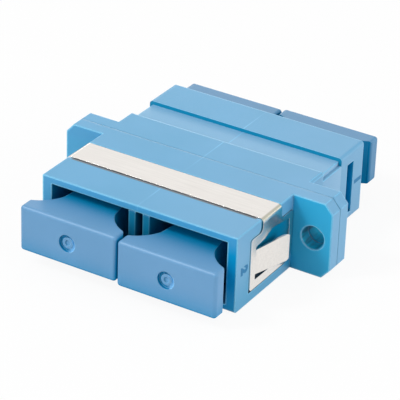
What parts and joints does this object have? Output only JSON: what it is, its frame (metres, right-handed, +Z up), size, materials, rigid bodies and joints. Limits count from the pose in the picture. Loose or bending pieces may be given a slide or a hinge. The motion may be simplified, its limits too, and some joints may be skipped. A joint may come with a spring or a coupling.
{
  "type": "fibre adapter",
  "caption": "Duplex push-pull fibre adapter with panel flange, side spring clip and dust caps; joins two pairs of connector plugs through a panel.",
  "frame": {"origin": "midway between the two ear holes, on the front face of the flange", "axes": "+X across the two ports, +Y from the front ports to the rear ports, +Z up towards the top face that the clip's strip crosses"},
  "size_m": [0.0352, 0.0367, 0.0094],
  "materials": {
    "housing": "satin moulded plastic",
    "clip": "satin sheet steel",
    "insert": "moulded plastic",
    "sleeve": "ground zirconia",
    "dust_cap": "soft moulded plastic"
  },
  "bodies": {
    "adapter": {"front_shell": "housing", "rear_shell": "housing", "mounting_clip": "clip", "latch_insert_front_left": "insert", "latch_insert_front_right": "insert", "latch_insert_rear_left": "insert", "latch_insert_rear_right": "insert", "sleeve_left": "sleeve", "sleeve_right": "sleeve"},
    "cap_front_left": {"dust_cap_front_left": "dust_cap"},
    "cap_front_right": {"dust_cap_front_right": "dust_cap"},
    "cap_rear_left": {"dust_cap_rear_left": "dust_cap"},
    "cap_rear_right": {"dust_cap_rear_right": "dust_cap"}
  },
  "joints": [
    {"name": "pull_front_left", "type": "slide", "parent": "adapter", "child": "cap_front_left", "axis": [0, -1, 0], "range_m": [0, 0.012]},
    {"name": "pull_front_right", "type": "slide", "parent": "adapter", "child": "cap_front_right", "axis": [0, -1, 0], "range_m": [0, 0.012]},
    {"name": "pull_rear_left", "type": "slide", "parent": "adapter", "child": "cap_rear_left", "axis": [0, 1, 0], "range_m": [0, 0.012]},
    {"name": "pull_rear_right", "type": "slide", "parent": "adapter", "child": "cap_rear_right", "axis": [0, 1, 0], "range_m": [0, 0.012]}
  ]
}
